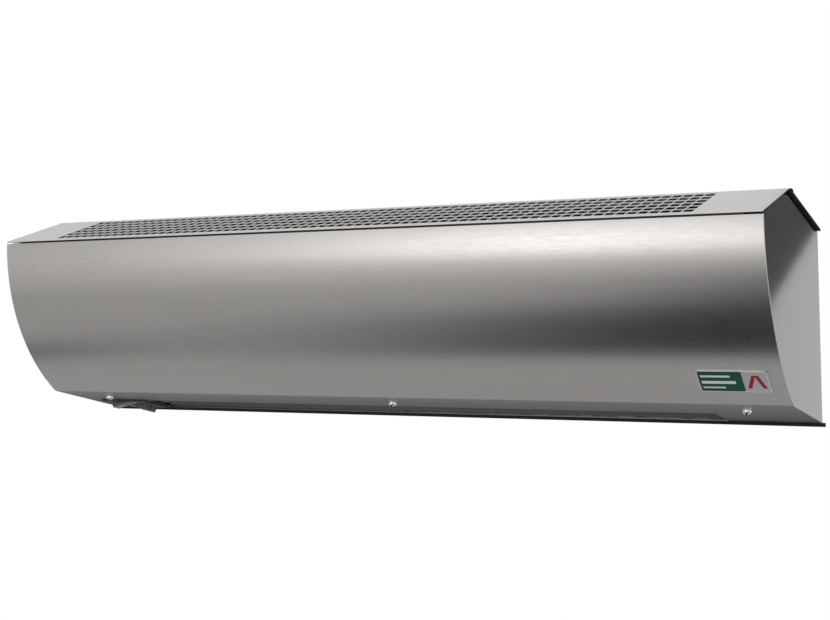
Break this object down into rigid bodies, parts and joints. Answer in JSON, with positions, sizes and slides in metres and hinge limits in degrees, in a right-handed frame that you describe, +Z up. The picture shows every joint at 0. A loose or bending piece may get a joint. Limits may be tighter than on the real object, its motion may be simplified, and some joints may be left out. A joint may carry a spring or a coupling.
{
  "type": "air curtain",
  "caption": "Wall-mounted electric air curtain: curved stainless front, perforated intake on top, slotted outlet below with fixed vanes, rocker switches and a cross-flow fan inside.",
  "frame": {"origin": "centre of the four wall-fixing holes on the face of the back plate that lies against the wall", "axes": "+X along the housing to the right as seen from the front, +Y into the wall, +Z up"},
  "size_m": [0.815, 0.188, 0.2105],
  "materials": {
    "stainless": "brushed along the length",
    "black_paint": "matt black powder coat",
    "bright_steel": "bright plated",
    "galvanised": "dull galvanised sheet",
    "fan_aluminium": "satin",
    "motor_paint": "satin dark grey",
    "rubber": "matt",
    "brass": "satin",
    "heater_steel": "heat tinted",
    "insulator": "matt",
    "black_plastic": "fine texture",
    "key_plastic": "polished",
    "lead_sheath": "matt"
  },
  "bodies": {
    "housing": {"front_cover": "stainless", "intake_panel": "stainless", "end_cap_left": "stainless", "end_cap_right": "stainless", "back_plate": "black_paint", "cover_screws": "bright_steel", "motor_screws": "bright_steel", "rocker_axle": "bright_steel", "outlet_frame": "galvanised", "scroll_sheet": "galvanised", "tongue_sheet": "galvanised", "motor_bracket": "galvanised", "bearing_bracket": "galvanised", "outlet_vane_upper": "galvanised", "outlet_vane_lower": "galvanised", "motor_can": "motor_paint", "motor_grommets": "rubber", "bearing_grommet": "rubber", "cable_gland": "rubber", "bearing_bush": "brass", "terminal_screws": "brass", "heater_tubes": "heater_steel", "heater_fins": "heater_steel", "heater_end_plates": "insulator", "thermal_cutout": "insulator", "terminal_block": "insulator", "switch_bezel": "black_plastic", "switch_body": "black_plastic", "wiring_loom": "lead_sheath"},
    "fan": {"fan_impeller": "fan_aluminium", "fan_end_disc_left": "fan_aluminium", "fan_end_disc_right": "fan_aluminium", "fan_shaft": "bright_steel", "motor_shaft": "bright_steel"},
    "rocker_fan": {"rocker_fan": "key_plastic"},
    "rocker_heat_low": {"rocker_heat_low": "key_plastic"},
    "rocker_heat_high": {"rocker_heat_high": "key_plastic"}
  },
  "joints": [
    {"name": "fan_spin", "type": "hinge", "parent": "housing", "child": "fan", "pos_m": [0, -0.062, 0.013], "axis": [1, 0, 0], "continuous": true},
    {"name": "rocker_fan_tilt", "type": "hinge", "parent": "housing", "child": "rocker_fan", "pos_m": [-0.354, -0.04471, -0.09321], "axis": [0, 0.9815, -0.1917], "range_deg": [0, 22]},
    {"name": "rocker_heat_low_tilt", "type": "hinge", "parent": "housing", "child": "rocker_heat_low", "pos_m": [-0.354, -0.03333, -0.09544], "axis": [0, 0.9815, -0.1917], "range_deg": [-22, 0]},
    {"name": "rocker_heat_high_tilt", "type": "hinge", "parent": "housing", "child": "rocker_heat_high", "pos_m": [-0.354, -0.02194, -0.09766], "axis": [0, 0.9815, -0.1917], "range_deg": [-22, 0]}
  ]
}
